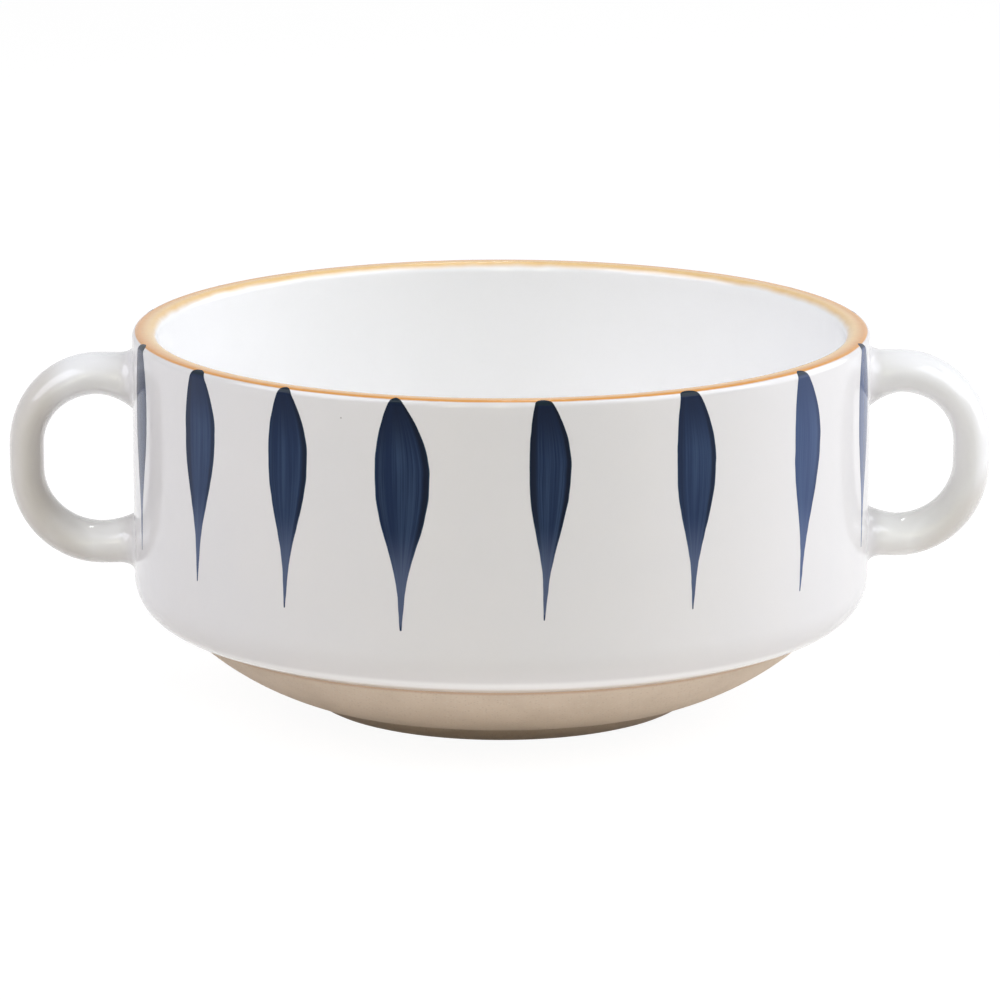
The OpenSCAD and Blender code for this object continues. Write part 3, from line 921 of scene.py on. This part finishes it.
class BOWL_OT_brush_leaves(bpy.types.Operator):
    """Brush the ring of leaf strokes, each pressed at its head and lifted to a hair."""

    bl_idname = "bowl.brush_leaves"
    bl_label = "Brush the leaf strokes"

    @staticmethod
    def fullness(down, head, widest):
        """Half the stroke's width at a share of the way down it."""
        if down < widest:
            start = head * HEAD_SHARE
            return start + (1 - start) * math.sin(math.pi / 2 * down / widest) ** SWELL
        return follow(TAPER, (down - widest) / (1 - widest))

    def execute(self, context):
        sizes, look = context.scene.bowl_sizes, context.scene.bowl_colours
        leaf = context.scene.bowl_leaves
        mesh = bmesh.new()
        chart = mesh.loops.layers.uv.new("stroke")
        hand = mesh.verts.layers.float.new("hand")
        wash = mesh.verts.layers.float.new("wash")
        corner = rim_round(sizes)
        for index in range(leaf.count):
            lean, long, wide, head_left, tip_left, head, widest = HAND[index % len(HAND)]
            middle = math.tau / leaf.count * (index + 0.5 + lean)
            before = set(mesh.verts)
            grid = bmesh.ops.create_grid(mesh, x_segments=16, y_segments=64, size=1.0)["verts"]
            members = set(grid)
            faces = [f for f in mesh.faces if f.verts[0] in members]
            for face in faces:
                for loop in face.loops:
                    row = (1 - loop.vert.co.y) / 2
                    mapped = max(0.0, (row - UNMAPPED_ROWS) / (1 - UNMAPPED_ROWS))
                    loop[chart].uv = ((loop.vert.co.x + 1) / 2, mapped)
            for vert in grid:
                side, row = vert.co.x, (1 - vert.co.y) / 2
                run = (row - HEAD_ROWS) / (1 - HEAD_ROWS) * leaf.length * long
                if row < HEAD_ROWS:
                    run = (row / HEAD_ROWS - 1) * leaf.overlap
                down = (run + leaf.overlap) / (leaf.length * long + leaf.overlap)
                blunt = min(1.0, (run + leaf.overlap + HEAD_START) / HEAD_ROUND)
                half = self.fullness(down, head, widest) * leaf.width * wide / 2
                half *= math.sqrt(blunt * (2 - blunt))
                edge = noise.noise(Vector((side * 2.0, down * 21.0, index * 5.3))) * EDGE_WANDER
                to_head = max(0.0, 1 - down / widest) ** 1.7
                to_tip = max(0.0, (down - widest) / (1 - widest)) ** 1.25
                bend = (head_left * to_head + tip_left * to_tip) / 1000
                across = side * (half + edge) - bend
                lift = max(0.0, -run) / sizes.outer_round
                reach = sizes.outer_round + leaf.proud
                out = corner.x + reach * math.cos(lift)
                height = corner.y + reach * math.sin(lift) - max(0.0, run)
                angle = middle + across / sizes.radius
                vert.co = (out * math.cos(angle), out * math.sin(angle), height)
            sunk = bmesh.ops.extrude_face_region(mesh, geom=faces, use_keep_orig=True)["geom"]
            for vert in (g for g in sunk if isinstance(g, bmesh.types.BMVert)):
                vert.co.xy -= vert.co.xy.normalized() * leaf.depth
            for vert in mesh.verts:
                if vert not in before:
                    vert[hand] = noise.cell(Vector((index * 1.37, 2.1, 0.4)))
                    vert[wash] = WASH_AND_REFLECTION[index % len(WASH_AND_REFLECTION)]
        bmesh.ops.recalc_face_normals(mesh, faces=mesh.faces[:])
        shown(mesh, "leaf_strokes_brushed", blue_pigment("blue_pigment", look, sizes),
              "blue_pigment", "leaf_strokes")
        return {"FINISHED"}


# The lamps: place, width, height, the setting that holds the power, and colour. They all face
# the middle of the bowl.
MIDDLE = (0.0, 0.0, 0.035)
LAMPS = {
    "overhead": ((0.05, 0.1, 1.15), 0.9, 0.7, "overhead", (1.0, 1.0, 1.0)),
    "right_box": ((0.97, 0.3, 0.42), 1.0, 0.9, "key", (0.96, 0.97, 1.0)),
    "right_high": ((0.75, -0.25, 0.85), 0.9, 0.9, "right_high", (0.88, 0.92, 1.0)),
    "left_high": ((-0.75, -0.25, 0.85), 0.9, 0.9, "left_high", (0.88, 0.9, 1.0)),
    "front_high": ((0.0, -0.85, 0.95), 0.9, 0.6, "front_high", (1.0, 0.96, 0.5)),
    "small_back": ((0.03, 0.75, 0.9), 0.07, 0.07, "glint", (1.0, 1.0, 1.0)),
    "strip_left": ((-0.3, -1.15, 0.45), 0.09, 0.8, "strip", (1.0, 0.97, 0.75)),
    "strip_front": ((-0.02, -1.2, 0.45), 0.09, 0.8, "strip", (1.0, 0.97, 0.75)),
}

# The floor: half its side, how far below the foot it lies, its colour, the strength of the white
# that is seen, and how far that white covers the colour. Gloss sees a little less white.
FLOOR_HALF, FLOOR_DROP, FLOOR_COLOUR = 4.0, 0.00005, (0.93, 0.9, 0.865)
SEEN_WHITE, WHITE_SHARE, GLOSS_SHARE = 1.09, 0.86, 0.88


class BOWL_OT_set_stage(bpy.types.Operator):
    """Lay the pale floor, hang the lamps and set up the camera."""

    bl_idname = "bowl.set_stage"
    bl_label = "Set the stage"

    def lamp(self, name, place, across, up, power, colour):
        """A soft rectangular lamp that faces the middle of the bowl."""
        data = bpy.data.lights.new(name, "AREA")
        data.shape, data.size, data.size_y = "RECTANGLE", across, up
        data.energy, data.color = power, colour
        lamp = bpy.data.objects.new(name, data)
        lamp.location = place
        lamp.rotation_euler = (Vector(MIDDLE) - Vector(place)).to_track_quat("-Z", "Y").to_euler()
        bpy.context.scene.collection.objects.link(lamp)

    def seen(self, wiring):
        """1 for rays from the camera or through glass, and a little less by way of gloss."""
        camera, gloss, glass = (wiring.node("ShaderNodeLightPath", out=ray) for ray in (
            "Is Camera Ray", "Is Glossy Ray", "Is Transmission Ray"))
        return camera.most(gloss * GLOSS_SHARE).most(glass)

    def floor(self):
        """A pale floor that keeps the bowl's shadow and shows white away from it."""
        mesh = bmesh.new()
        bmesh.ops.create_grid(mesh, x_segments=1, y_segments=1, size=FLOOR_HALF)
        data = bpy.data.meshes.new("floor")
        mesh.to_mesh(data)
        mesh.free()
        material = bpy.data.materials.new("pale_floor")
        wiring = Wiring(material)
        wiring.tree.nodes.remove(wiring.found("BSDF_PRINCIPLED"))
        matt = wiring.node("ShaderNodeBsdfDiffuse", None, FLOOR_COLOUR)
        glow = wiring.node("ShaderNodeEmission", Strength=SEEN_WHITE)
        white = self.seen(wiring) * WHITE_SHARE
        both = wiring.node("ShaderNodeMixShader", None, white, matt, glow)
        wiring.feed(wiring.found("OUTPUT_MATERIAL").inputs["Surface"], both)
        data.materials.append(material)
        floor = bpy.data.objects.new("floor", data)
        floor.location.z = -FLOOR_DROP
        bpy.context.scene.collection.objects.link(floor)

    def room(self):
        """White all round where it is seen; the lamps do the lighting."""
        world = bpy.data.worlds.new("room")
        bpy.context.scene.world = world
        wiring = Wiring(world)
        back = wiring.found("BACKGROUND")
        wiring.feed(back.inputs["Color"], (1.0, 1.0, 1.0))
        wiring.feed(back.inputs["Strength"], self.seen(wiring))

    def camera(self, stage):
        """The camera at the height and distance from which the bowl is seen."""
        data = bpy.data.cameras.new("camera")
        data.sensor_width = 36.0
        data.lens, data.shift_x, data.shift_y = stage.lens, stage.shift_x, stage.shift_y
        camera = bpy.data.objects.new("camera", data)
        back = Vector((0.0, -math.cos(stage.raised), math.sin(stage.raised)))
        camera.location = Vector((0.0, 0.0, stage.aim)) + back * stage.distance
        camera.rotation_euler = (-back).to_track_quat("-Z", "Y").to_euler()
        bpy.context.scene.collection.objects.link(camera)
        bpy.context.scene.camera = camera

    def execute(self, context):
        stage = context.scene.bowl_stage
        self.floor()
        self.room()
        for name, (place, across, up, power, colour) in LAMPS.items():
            self.lamp(name, place, across, up, getattr(stage, power), colour)
        self.camera(stage)
        context.scene.view_settings.view_transform = "Standard"
        return {"FINISHED"}


STEPS = (
    BOWL_OT_throw_clay, BOWL_OT_glaze_outside, BOWL_OT_glaze_inside, BOWL_OT_band_rim,
    BOWL_OT_pull_handles, BOWL_OT_brush_leaves, BOWL_OT_set_stage,
)
SETTINGS = (
    (BowlSizes, "bowl_sizes"), (HandleSizes, "bowl_handles"), (LeafSizes, "bowl_leaves"),
    (GlazeColours, "bowl_colours"), (StageSettings, "bowl_stage"),
)


class BOWL_PT_bench(bpy.types.Panel):
    """The bowl's steps in order, with the settings they read."""

    bl_idname = "BOWL_PT_bench"
    bl_label = "Soup bowl"
    bl_space_type = "VIEW_3D"
    bl_region_type = "UI"
    bl_category = "Soup bowl"

    def draw(self, context):
        for step in STEPS:
            self.layout.operator(step.bl_idname)
        for group, name in SETTINGS:
            box = self.layout.box()
            box.label(text=group.__doc__)
            for key in group.__annotations__:
                box.prop(getattr(context.scene, name), key)


def register():
    for group, name in SETTINGS:
        bpy.utils.register_class(group)
        setattr(bpy.types.Scene, name, bpy.props.PointerProperty(type=group))
    for part in STEPS + (BOWL_PT_bench,):
        bpy.utils.register_class(part)


def unregister():
    for part in (BOWL_PT_bench,) + STEPS[::-1]:
        bpy.utils.unregister_class(part)
    for group, name in SETTINGS[::-1]:
        delattr(bpy.types.Scene, name)
        bpy.utils.unregister_class(group)


def main():
    """Makes every piece and the stage."""
    register()
    for step in STEPS:
        family, name = step.bl_idname.split(".")
        getattr(getattr(bpy.ops, family), name)()


if __name__ == "__main__":
    main()
